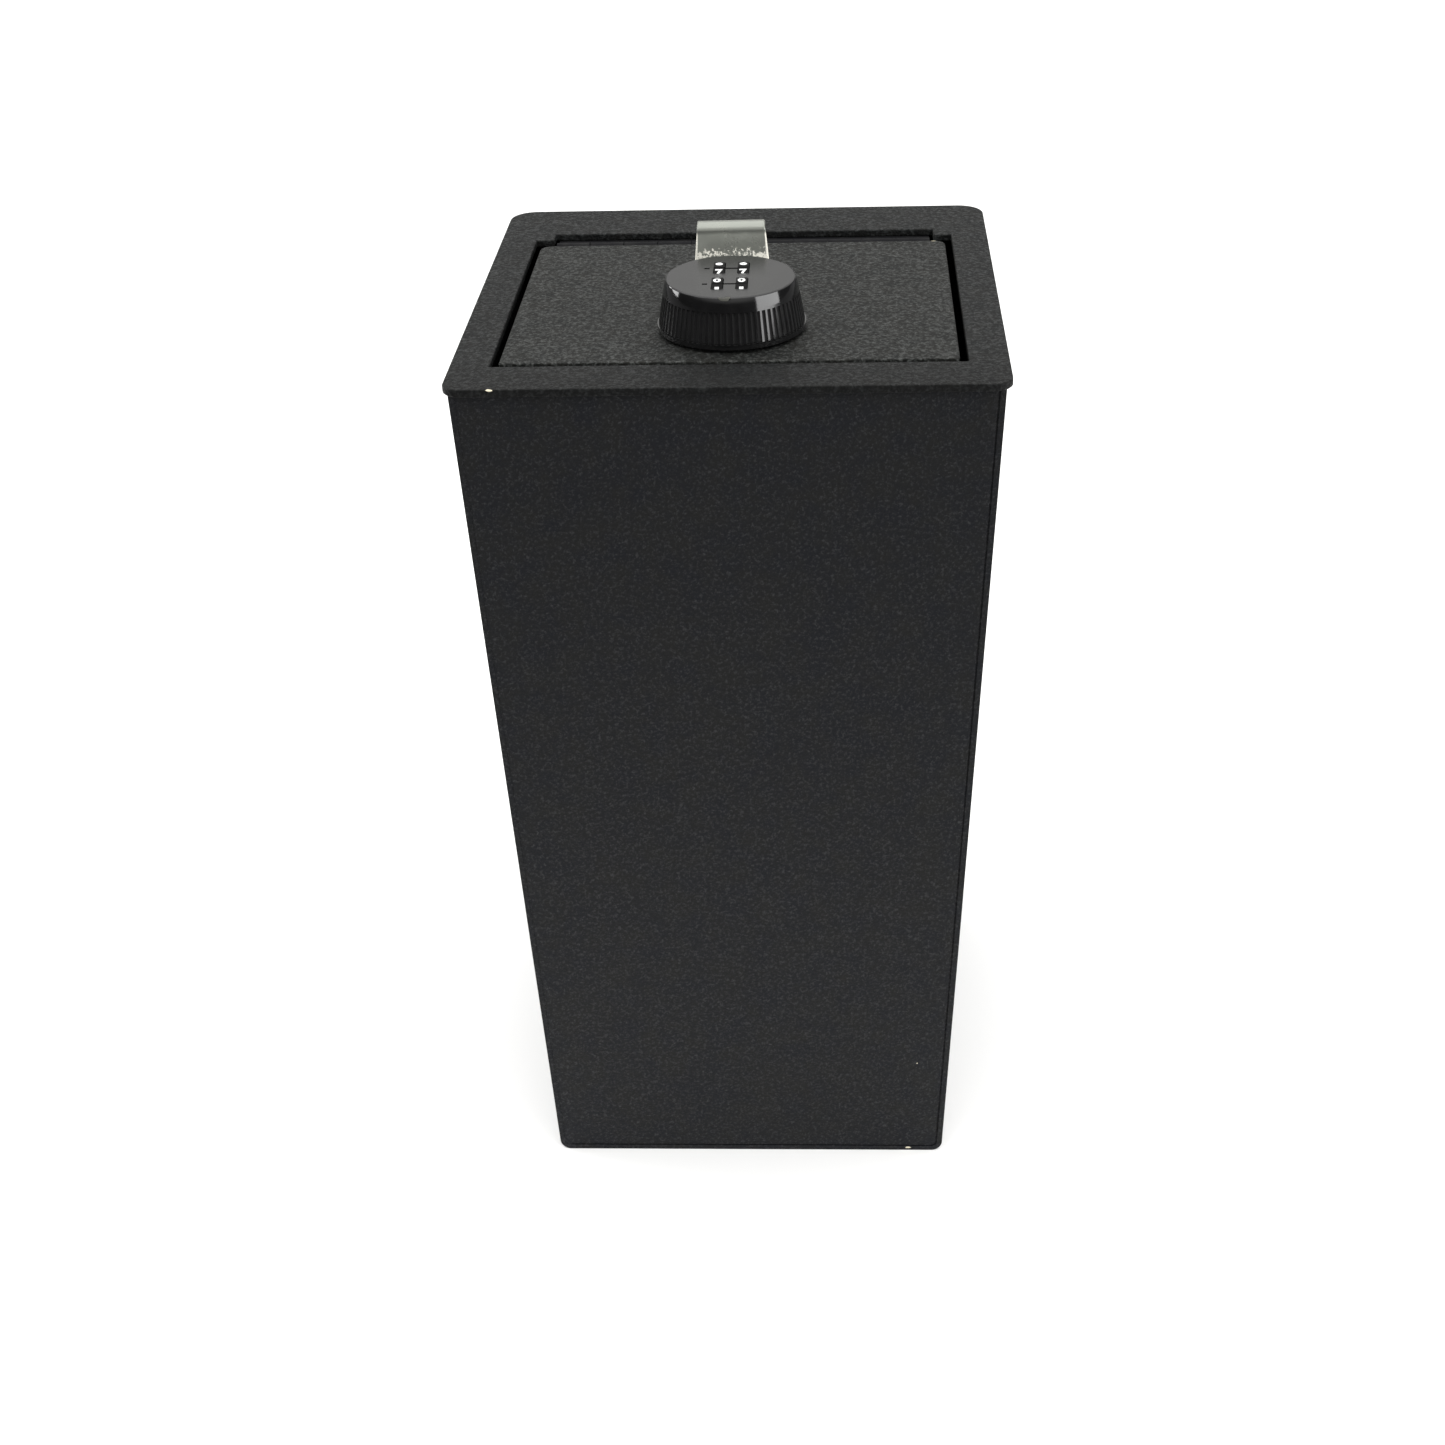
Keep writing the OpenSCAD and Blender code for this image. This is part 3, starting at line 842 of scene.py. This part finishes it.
@dataclass
class Stage:
    """Floor, lights and camera.

    Attributes:
        eye: Where the camera stands.
        turn: Its pitch down from the horizon, its yaw and its roll.
        lens_px: Focal length in pixels of a frame of `frame_px`.
        centre_px: Principal point in the same pixels.
        frame_px: Width and height of that frame.
        sensor: Width of the sensor in millimetres.
        floor_half: Half the floor's width in metres.
        wall_top: Heights of view between which the room turns from dim to bright.
        room_light: Strength of the lower and the upper room.
        room_colour: Colour of the room.
        panels: The ceiling light, and the two windows that show in the knob.
    """

    eye: Triple = (0.034976, -0.702682, 0.538108)
    turn: Triple = (0.5254, -0.0539, -0.0318)
    lens_px: float = 2207.05
    centre_px: Pair = (741.8, 721.96)
    frame_px: float = 1445.0
    sensor: float = 36.0
    floor_half: float = 6.0
    wall_top: Pair = (0.145, 0.28)
    room_light: Pair = (0.06, 1.0)
    room_colour: Colour = (1.0, 0.995, 0.975)
    panels: tuple[Panel, ...] = (
        Panel("ceiling", (0.0, -0.1, 1.7), (0.0, 0.0, 0.0), (3.2, 2.8), 38.0),
        Panel("window_right", (1.37, -0.61, 0.47), (0.0, 0.0, 0.31), (1.2, 0.50), 12.5),
        Panel("window_left", (-1.39, 0.56, 0.50), (0.0, 0.0, 0.31), (0.86, 0.44), 9.0),
    )

    def add_camera(self) -> None:
        """Create the camera from its place, turn and focal length."""
        pitch, yaw, roll = self.turn
        forward = Vector((
            math.sin(yaw) * math.cos(pitch),
            math.cos(yaw) * math.cos(pitch),
            -math.sin(pitch),
        ))
        right = Vector((math.cos(yaw), -math.sin(yaw), 0.0))
        up = right.cross(forward)
        turned_right = math.cos(roll) * right + math.sin(roll) * up
        turned_up = -math.sin(roll) * right + math.cos(roll) * up
        data = bpy.data.cameras.new("camera")
        data.sensor_width = self.sensor
        data.lens = self.lens_px / self.frame_px * self.sensor
        data.shift_x = 0.5 - self.centre_px[0] / self.frame_px
        data.shift_y = self.centre_px[1] / self.frame_px - 0.5
        camera = bpy.data.objects.new("camera", data)
        turn = Matrix((turned_right, turned_up, -forward)).transposed()
        camera.matrix_world = Matrix.Translation(Vector(self.eye)) @ turn.to_4x4()
        bpy.context.scene.collection.objects.link(camera)
        bpy.context.scene.camera = camera

    def add_floor(self) -> None:
        """Lay a wide floor under the box, pale round it and painted dark further off.
        """
        mesh = bpy.data.meshes.new("floor")
        h = self.floor_half
        corners = [(-h, -h, 0), (h, -h, 0), (h, h, 0), (-h, h, 0)]
        mesh.from_pydata(corners, [], [(0, 1, 2, 3)])
        floor = bpy.data.objects.new("floor", mesh)
        mesh.materials.append(FloorPaint().material())
        bpy.context.scene.collection.objects.link(floor)

    def add_room(self) -> None:
        """Surround the box with a room that is dim below and bright above."""
        world = bpy.data.worlds.new("room")
        g = Graph(world)
        height = g.axes(g.add("ShaderNodeTexCoord").outputs["Generated"])[2]
        lit = g.span(height, self.wall_top, curve="SMOOTHSTEP")
        room = g.tree.nodes["Background"]
        g.feed(room.inputs["Color"], self.room_colour)
        g.feed(room.inputs["Strength"], g.span(lit, RISE, self.room_light))
        bpy.context.scene.world = world

    def build(self) -> None:
        """Make the whole stage."""
        bpy.context.scene.view_settings.view_transform = "Standard"
        self.add_camera()
        self.add_floor()
        self.add_room()
        for panel in self.panels:
            panel.build()


# --- carried-over pieces ---


@dataclass
class Maker:
    """Base of everything that makes or dresses pieces.

    Attributes:
        nodes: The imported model's nodes.
        finishes: The materials.
    """

    nodes: dict[str, bpy.types.Object]
    finishes: Finishes


@dataclass
class FramePieces(Maker):
    """Finish and edge rounding of every piece that comes with the model.

    Attributes:
        slots: Each slot's nodes.
        rounded: Edge radius in metres for nodes whose sheet edges are softened.
        weld: Distance in metres at which points are joined before the rounding.
        flat: Angle up to which neighbouring faces count as one flat.
        crease: Angle from which an edge is rounded.
        segments: Faces across a rounded edge.
        face_weight: How much the large faces count in the shading.
    """

    slots: dict[Slot, tuple[str, ...]] = field(default_factory=lambda: {
        Slot.CASE: ("body_wrap", "front_panel", "rear_panel", "lid_ledge"),
        Slot.PLATE: ("top_flange", "lid_plate"),
        Slot.HINGE: ("hinge_leaf_case", "hinge_leaf_lid", "hinge_pin"),
        Slot.HARDWARE: (
            "lock_washer", "lock_nut", "lock_spindle",
            "lock_cam", "cam_washer", "cam_screw", "axle_rear", "axle_front",
        ),
        Slot.KNOB: ("knob_shell", "lock_base"),
        Slot.WHEEL: (
            "dial_carrier",
            "dial_wheel_1", "dial_wheel_2", "dial_wheel_3", "dial_wheel_4",
        ),
    })
    rounded: dict[str, float] = field(default_factory=lambda: {
        "body_wrap": 0.00035, "front_panel": 0.00025, "rear_panel": 0.00025,
        "lid_ledge": 0.0003, "top_flange": 0.00045, "lid_plate": 0.00045,
    })
    weld: float = 0.000001
    flat: float = math.radians(0.5)
    crease: float = math.radians(35)
    segments: int = 3
    face_weight: int = 100

    def soften(self, piece: bpy.types.Object, radius: float) -> None:
        """Round a plate's edges, cut by shearing, with modifiers, leaving its mesh as
        it is.

        Args:
            piece: The plate.
            radius: Radius of the rounding in metres.
        """
        weld = piece.modifiers.new("weld", "WELD")
        weld.merge_threshold = self.weld
        plain = piece.modifiers.new("flats", "DECIMATE")
        plain.decimate_type = "DISSOLVE"
        plain.angle_limit = self.flat
        bevel = piece.modifiers.new("edges", "BEVEL")
        bevel.width = radius
        bevel.segments = self.segments
        bevel.limit_method = "ANGLE"
        bevel.angle_limit = self.crease
        shade = piece.modifiers.new("shade", "WEIGHTED_NORMAL")
        shade.weight = self.face_weight
        shade.keep_sharp = True

    def build(self) -> None:
        """Dress every node."""
        for slot, names in self.slots.items():
            for name in names:
                self.finishes.dress(self.nodes[name], slot)
        # The flange wears the darker copy of the plate coat: painted shade.
        self.finishes.dress(self.nodes["top_flange"], Slot.PLATE, Extra.RIM)
        for name, radius in self.rounded.items():
            self.soften(self.nodes[name], radius)


# --- mesh helpers ---


def object_from(name: str, shape: BMesh, smooth: bool = True) -> bpy.types.Object:
    """Turn a bmesh into a linked object with outward normals.

    Args:
        name: Name of the object and its mesh.
        shape: The built mesh, freed here.
        smooth: Whether the faces are shaded smooth.

    Returns:
        The new object.
    """
    bmesh.ops.recalc_face_normals(shape, faces=shape.faces)
    for face in shape.faces:
        face.smooth = smooth
    mesh = bpy.data.meshes.new(name)
    shape.to_mesh(mesh)
    shape.free()
    piece = bpy.data.objects.new(name, mesh)
    bpy.context.scene.collection.objects.link(piece)
    return piece


def loft(shape: BMesh, rings: list[list[Vector]], closed: bool = False) -> None:
    """Skin closed rings of points with quads and close both ends.

    Args:
        shape: Mesh to add to.
        rings: Rings with the same number of points.
        closed: Join the last ring to the first instead of capping the ends.
    """
    made = [[shape.verts.new(point) for point in ring] for ring in rings]
    pairs = list(zip(made, made[1:])) + ([(made[-1], made[0])] if closed else [])
    count = len(made[0])
    for low, high in pairs:
        for i in range(count):
            j = (i + 1) % count
            shape.faces.new((low[i], low[j], high[j], high[i]))
    if not closed:
        shape.faces.new(made[0])
        shape.faces.new(list(reversed(made[-1])))


# --- pull tab ---


@dataclass
class PullTab(Maker):
    """Polished strip that stands behind the lock and curls back at the top.

    Attributes:
        thick: Thickness of the strip.
        foot_half: Half its width up to the top of the foot bend.
        top_half: Half its width at the top.
        stand: Distance from the lock's axis to the strip's front face.
        bend: Inside radius of the foot bend.
        curl: Outside radius of the curl.
        lip: Length of the straight lip.
        droop: Angle by which the lip slopes down.
        edge: Rounding of the strip's edges.
        shoulder: Distance from a side to the flat's first line, in edge roundings.
        hole: Radius of the hole round the lock's barrel.
        twist: How far the tab has crept round the barrel, anticlockwise.
        flat_at: Cross-sections in the foot, as shares of `stand`.
        flat_end: Distance from the last one to the bend.
        overlap: Where the round plate ends in the foot, as a share of `stand`.
        steps: Steps round the bend, up the upright, round the curl and along the lip.
        edge_steps: Steps round an edge of the strip.
        foot_steps: Steps round the foot.
    """

    thick: float = 1.2 * MM
    foot_half: float = 12.9 * MM
    top_half: float = 10.85 * MM
    stand: float = 27.8 * MM
    bend: float = 2.0 * MM
    curl: float = 3.0 * MM
    lip: float = 3.0 * MM
    droop: float = math.radians(30)
    edge: float = 0.5 * MM
    shoulder: float = 1.6
    hole: float = 9.5 * MM
    twist: float = math.radians(1.7)
    flat_at: Pair = (0.45, 0.7)
    flat_end: float = 0.1 * MM
    overlap: float = 0.5
    steps: tuple[int, int, int, int] = (12, 16, 28, 4)
    edge_steps: int = 6
    foot_steps: int = 96

    def half_width(self, height: float, top: float) -> float:
        """Find half the strip's width.

        Args:
            height: Height above the tab's underside.
            top: Full height of the tab.

        Returns:
            Half the width in metres.
        """
        start = self.thick + self.bend
        share = min(max((height - start) / (top - start), 0.0), 1.0)
        return self.foot_half + share * (self.top_half - self.foot_half)

    def centre_line(self, top: float) -> list[Triple]:
        """Follow the middle of the strip.

        Args:
            top: Full height of the tab.

        Returns:
            (y, z, turn) along the strip, y from the lock's axis and z from the
            tab's underside.
        """
        mid = self.thick / 2
        bend_r = self.bend + mid
        curl_r = self.curl - mid
        bend_y = self.stand - self.bend
        bend_top = self.thick + self.bend
        curl_z = top - self.curl
        bend_steps, rise_steps, curl_steps, lip_steps = self.steps
        flats = [share * self.stand for share in self.flat_at]
        line = [(y, mid, 0.0) for y in (*flats, bend_y - self.flat_end)]
        for i in range(bend_steps + 1):
            a = math.radians(90 * i / bend_steps)
            y, z = bend_y + bend_r * math.sin(a), bend_top - bend_r * math.cos(a)
            line.append((y, z, a))
        rise = curl_z - bend_top
        for i in range(1, rise_steps):
            z = bend_top + rise * i / rise_steps
            line.append((self.stand + mid, z, math.pi / 2))
        for i in range(curl_steps + 1):
            a = (math.pi / 2 + self.droop) * i / curl_steps
            y = self.stand + self.curl - curl_r * math.cos(a)
            line.append((y, curl_z + curl_r * math.sin(a), math.pi / 2 - a))
        y, z, turn = line[-1]
        for i in range(1, lip_steps + 1):
            run = self.lip * i / lip_steps
            line.append((y + run * math.cos(turn), z + run * math.sin(turn), turn))
        return line

    def section(self, half: float) -> list[Pair]:
        """Draw the rounded cross-section.

        Args:
            half: Half the strip's width here.

        Returns:
            (x, offset) pairs round it.
        """
        mid, r = self.thick / 2, self.edge
        points = []
        for side, face, start in ((1, -1, -90), (1, 1, 0), (-1, 1, 90), (-1, -1, 180)):
            arc = []
            for i in range(self.edge_steps + 1):
                a = math.radians(start + 90 * i / self.edge_steps)
                arc.append((
                    side * (half - r) + r * math.cos(a),
                    face * (mid - r) + r * math.sin(a),
                ))
            flat = (side * (half - self.shoulder * r), face * mid)
            points += [flat, *arc] if side != face else [*arc, flat]
        return points

    def foot(self, shape: BMesh, axis_y: float, floor: float) -> None:
        """Add the foot: a round-ended plate with the barrel's hole.

        Args:
            shape: Mesh to add to.
            axis_y: The lock's axis.
            floor: Height of the lid's top.
        """
        turns = [2 * math.pi * i / self.foot_steps for i in range(self.foot_steps)]
        hole = [self.hole] * self.foot_steps
        rim = []
        for a in turns:
            x, y = math.cos(a), math.sin(a)
            if y <= 0:
                rim.append(self.foot_half)
            else:
                side = self.foot_half / max(abs(x), TINY)
                rim.append(min(side, self.overlap * self.stand / y))
        rings = []
        top = floor + self.thick
        for radii, z in ((hole, floor), (hole, top), (rim, top), (rim, floor)):
            rings.append([
                Vector((r * math.cos(a), axis_y + r * math.sin(a), z))
                for r, a in zip(radii, turns)
            ])
        loft(shape, rings, closed=True)

    def build(self) -> None:
        """Make the tab on the lid."""
        low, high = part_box("pull_tab")
        axis_y = low[1] + self.foot_half
        top = high[2] - low[2]
        shape = bmesh.new()
        self.foot(shape, axis_y, low[2])
        rings = []
        for y, z, turn in self.centre_line(top):
            across, up = -math.sin(turn), math.cos(turn)
            rings.append([
                Vector((x, axis_y + y + n * across, low[2] + z + n * up))
                for x, n in self.section(self.half_width(z, top))
            ])
        loft(shape, rings)
        bmesh.ops.rotate(
            shape,
            verts=shape.verts,
            cent=Vector((0.0, axis_y, 0.0)),
            matrix=Matrix.Rotation(self.twist, 3, "Z"),
        )
        tab = object_from("tab_polished", shape)
        self.finishes.dress(tab, Slot.BRIGHT)
        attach(tab, Body.LID.value)
        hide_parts("pull_tab")


# --- numerals ---


@dataclass
class Numerals(Maker):
    """White figures printed round the four wheels.

    Attributes:
        height: Height of a figure along the rim.
        width: Width of a figure along the axle.
        slim: Width of the figure 1, as a share of the others.
        proud: How far the print stands out of the wheel, and how deep it reaches.
        weight: Extra thickness of the strokes, as a share of the letter size.
        slice: Length of the flat steps that follow the rim.
        curves: Steps in each curve of a figure.
        merge: Distance at which points of a figure are joined.
        shown: Figure nearest to the top of each wheel, rear ones first.
        turns: Angle of that figure from the top, towards the front.
        count: Figures on a wheel.
    """

    height: float = 2.35 * MM
    width: float = 2.35 * MM
    slim: float = 0.55
    proud: float = 0.04 * MM
    weight: float = 0.035
    slice: float = 0.2 * MM
    curves: int = 6
    merge: float = 0.005 * MM
    shown: tuple[int, ...] = (6, 6, 0, 0)
    turns: tuple[float, ...] = tuple(math.radians(angle) for angle in (1, 1, 8, 8))
    count: int = 10

    def outline(self, figure: int) -> BMesh:
        """Draw one figure as a flat mesh, centred, in its final size.

        Args:
            figure: The number 0 to 9.

        Returns:
            The mesh.
        """
        curve = bpy.data.curves.new("figure", "FONT")
        curve.body = str(figure)
        curve.offset = self.weight
        curve.resolution_u = self.curves
        letter = bpy.data.objects.new("figure", curve)
        bpy.context.scene.collection.objects.link(letter)
        graph = bpy.context.evaluated_depsgraph_get()
        mesh = bpy.data.meshes.new_from_object(letter.evaluated_get(graph))
        shape = bmesh.new()
        shape.from_mesh(mesh)
        bpy.data.objects.remove(letter)
        bpy.data.curves.remove(curve)
        bpy.data.meshes.remove(mesh)
        xs = [v.co.x for v in shape.verts]
        ys = [v.co.y for v in shape.verts]
        wide = self.width * (self.slim if figure == 1 else 1.0)
        middle = Vector(((max(xs) + min(xs)) / 2, (max(ys) + min(ys)) / 2, 0))
        sizes = (wide / (max(xs) - min(xs)), self.height / (max(ys) - min(ys)), 1.0)
        bmesh.ops.translate(shape, verts=shape.verts, vec=-middle)
        bmesh.ops.scale(shape, verts=shape.verts, vec=sizes)
        bmesh.ops.remove_doubles(shape, verts=shape.verts, dist=self.merge)
        return shape

    def wrap(self, shape: BMesh, centre: Vector, radius: float, turn: float) -> None:
        """Cut a flat figure into slices, bend it round the wheel and thicken it.

        Args:
            shape: The flat figure, changed in place.
            centre: Centre of the wheel.
            radius: Radius of the wheel.
            turn: Angle from the top towards the front.
        """
        slices = int(self.height / self.slice)
        for i in range(1, slices):
            level = -self.height / 2 + self.height * i / slices
            bmesh.ops.bisect_plane(
                shape,
                geom=shape.verts[:] + shape.edges[:] + shape.faces[:],
                plane_co=(0, level, 0),
                plane_no=(0, 1, 0),
                dist=TINY,
            )
        grown = bmesh.ops.extrude_face_region(shape, geom=shape.faces[:])
        raised = {v for v in grown["geom"] if isinstance(v, bmesh.types.BMVert)}
        for vert in shape.verts:
            angle = turn - vert.co.y / radius
            reach = radius + (self.proud if vert in raised else -self.proud)
            y, z = -reach * math.sin(angle), reach * math.cos(angle)
            vert.co = centre + Vector((vert.co.x, y, z))

    def build(self) -> None:
        """Print the figures on every wheel."""
        wheels = (Body.WHEEL_1, Body.WHEEL_2, Body.WHEEL_3, Body.WHEEL_4)
        for body, first, rest in zip(wheels, self.shown, self.turns):
            low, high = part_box(f"dial_{body.value}")
            centre = (Vector(low) + Vector(high)) / 2
            radius = (high[2] - low[2]) / 2
            whole = bmesh.new()
            for step in range(self.count):
                figure = self.outline((first + step) % self.count)
                turn = rest + math.radians(360 / self.count * step)
                self.wrap(figure, centre, radius, turn)
                part = bpy.data.meshes.new("part")
                figure.to_mesh(part)
                figure.free()
                whole.from_mesh(part)
                bpy.data.meshes.remove(part)
            piece = object_from(f"figures_{body.value}", whole, smooth=False)
            self.finishes.dress(piece, Slot.WHEEL, Extra.FIGURE)
            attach(piece, body.value)


# --- dial marks ---


@dataclass
class DialMarks(Maker):
    """Dark lines filled into the face's grooves and the pale pointer in the rim.

    Attributes:
        rows: Places of the two rows along Y.
        bars: Middle and length of each row's lines along X.
        line: Width of a line.
        sunk: How deep a line's filling reaches.
        proud: How far the fillings stand out.
        pointer_top: Angles of the pointer's two sides at the face.
        pointer_foot: Angles of its sides at its foot.
        pointer_start: How far below the face it begins.
        pointer_drop: How far it runs down the crown.
        pointer_deep: How deep its filling reaches.
        pointer_steps: Steps down the pointer and across it.
        probe: Angle beside the pointer, and distance from the axis, from which the
            crown is measured.
    """

    rows: Pair = (-29.9 * MM, -44.7 * MM)
    bars: tuple[Pair, ...] = ((0.0, 3.8 * MM), (-7.75 * MM, 1.6 * MM))
    line: float = 1.0 * MM
    sunk: float = 0.2 * MM
    proud: float = 0.02 * MM
    pointer_top: Pair = (-0.165, 0.041)
    pointer_foot: Pair = (-0.10, 0.0)
    pointer_start: float = 0.03 * MM
    pointer_drop: float = 0.95 * MM
    pointer_deep: float = 0.8 * MM
    pointer_steps: tuple[int, int] = (8, 12)
    probe: Pair = (0.35, 0.04)

    def add_lines(self, face: float) -> None:
        """Fill the grooves.

        Args:
            face: Height of the knob's face.
        """
        shape = bmesh.new()
        for y in self.rows:
            for x, length in self.bars:
                size = Vector((length, self.line, self.sunk + self.proud))
                middle = Vector((x, y, face + (self.proud - self.sunk) / 2))
                block = bmesh.ops.create_cube(shape, size=1.0)["verts"]
                bmesh.ops.scale(shape, verts=block, vec=size)
                bmesh.ops.translate(shape, verts=block, vec=middle)
        piece = object_from("dial_lines", shape, smooth=False)
        self.finishes.dress(piece, Slot.KNOB, Extra.LINE)
        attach(piece, Body.KNOB.value)

    def add_pointer(self, axis: Vector, face: float) -> None:
        """Fill the rim's notch with a pale tongue that follows the crown.

        Args:
            axis: A point on the knob's axis.
            face: Height of the knob's face.
        """
        graph = bpy.context.evaluated_depsgraph_get()
        surface = BVHTree.FromObject(self.nodes["knob_shell"], graph)
        turn, reach = self.probe
        levels, steps = self.pointer_steps
        aside = Vector((math.sin(turn), -math.cos(turn), 0.0))
        rings = []
        for i in range(levels + 1):
            share = i / levels
            level = face - self.pointer_start - share * self.pointer_drop
            start = Vector((axis.x, axis.y, level)) + reach * aside
            hit = surface.ray_cast(start, -aside)[0]
            outer = math.hypot(hit.x - axis.x, hit.y - axis.y) + self.proud
            left, right = (
                wide + share * (narrow - wide)
                for wide, narrow in zip(self.pointer_top, self.pointer_foot)
            )
            angles = [left + (right - left) * j / steps for j in range(steps + 1)]
            outline = [(outer, a) for a in angles]
            outline += [(outer - self.pointer_deep, a) for a in reversed(angles)]
            rings.append([
                Vector((axis.x + r * math.sin(a), axis.y - r * math.cos(a), level))
                for r, a in outline
            ])
        shape = bmesh.new()
        loft(shape, rings)
        piece = object_from("pointer_fill", shape)
        self.finishes.dress(piece, Slot.KNOB, Extra.POINTER)
        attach(piece, Body.KNOB.value)

    def build(self) -> None:
        """Make both kinds of mark."""
        low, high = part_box("knob_shell")
        self.add_lines(high[2])
        self.add_pointer((Vector(low) + Vector(high)) / 2, high[2])


def main() -> None:
    """Build the stage and every piece in order."""
    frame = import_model()
    Stage().build()
    LOG.info("stage ready")
    finishes = Finishes()
    finishes.build()
    for maker in (FramePieces, PullTab, Numerals, DialMarks):
        maker(frame["nodes"], finishes).build()
        LOG.info("built %s", maker.__name__)


if __name__ == "__main__":
    logging.basicConfig(level=logging.INFO, format="%(name)s: %(message)s")
    main()
